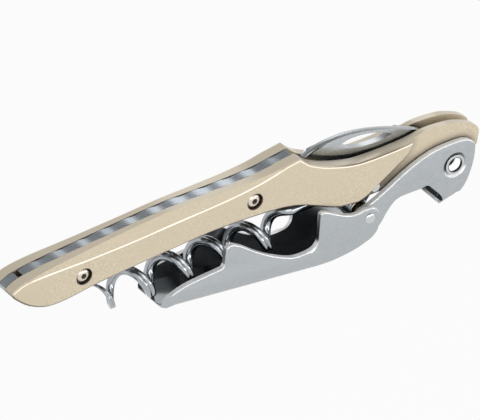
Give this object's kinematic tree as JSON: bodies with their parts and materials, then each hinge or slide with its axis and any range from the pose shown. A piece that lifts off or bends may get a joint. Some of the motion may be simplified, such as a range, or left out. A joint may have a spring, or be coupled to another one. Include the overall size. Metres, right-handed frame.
{
  "type": "folding lever corkscrew",
  "caption": "Folded double-hinged lever corkscrew with painted handle cheeks, foil knife, stepped channel lever and coiled worm.",
  "frame": {"origin": "middle of the box in plan, on the floor that the channel lever's web stands on", "axes": "+X along the handle towards the hood and end pin, +Z towards the scalloped spine, Y across the thickness with the seen side at -Y"},
  "size_m": [0.125, 0.013, 0.0299],
  "materials": {
    "cheek_paint": "satin champagne lacquer",
    "spring_steel": "polished on the back edge, brushed on the flanks",
    "screw_steel": "fine turned",
    "pin_steel": "polished",
    "knife_steel": "satin ground",
    "lever_steel": "satin chrome",
    "brass_fitting": "satin",
    "worm_steel": "bright chrome"
  },
  "bodies": {
    "handle": {"front_cheek": "cheek_paint", "rear_cheek": "cheek_paint", "back_spring": "spring_steel", "tail_spacer": "spring_steel", "tail_screw": "screw_steel", "waist_screw": "screw_steel", "tail_nut": "screw_steel", "waist_nut": "screw_steel", "worm_pin": "pin_steel", "end_pin": "pin_steel", "front_knife_washer": "pin_steel", "rear_knife_washer": "pin_steel"},
    "knife": {"knife": "knife_steel"},
    "link": {"lever_link": "lever_steel", "hinge_bush": "brass_fitting", "hinge_spring": "spring_steel", "front_hinge_washer": "brass_fitting", "rear_hinge_washer": "brass_fitting"},
    "channel_lever": {"boot_lever": "lever_steel", "hinge_rivet": "pin_steel"},
    "worm": {"worm": "worm_steel"}
  },
  "joints": [
    {"name": "link_hinge", "type": "hinge", "parent": "handle", "child": "link", "pos_m": [0.0557, 0, 0.0167], "axis": [0, -1, 0], "range_deg": [0, 100]},
    {"name": "lever_hinge", "type": "hinge", "parent": "link", "child": "channel_lever", "pos_m": [0.0321, 0, 0.0098], "axis": [0, -1, 0], "range_deg": [0, 70]},
    {"name": "worm_hinge", "type": "hinge", "parent": "handle", "child": "worm", "pos_m": [0.0348, 0, 0.0157], "axis": [0, -1, 0], "range_deg": [0, 85]},
    {"name": "knife_hinge", "type": "hinge", "parent": "handle", "child": "knife", "pos_m": [0.0557, 0, 0.0167], "axis": [0, 1, 0], "range_deg": [0, 132]}
  ],
  "couplings": [
    {"joint": "worm_hinge", "follows": "link_hinge", "ratio": 0.85}
  ]
}
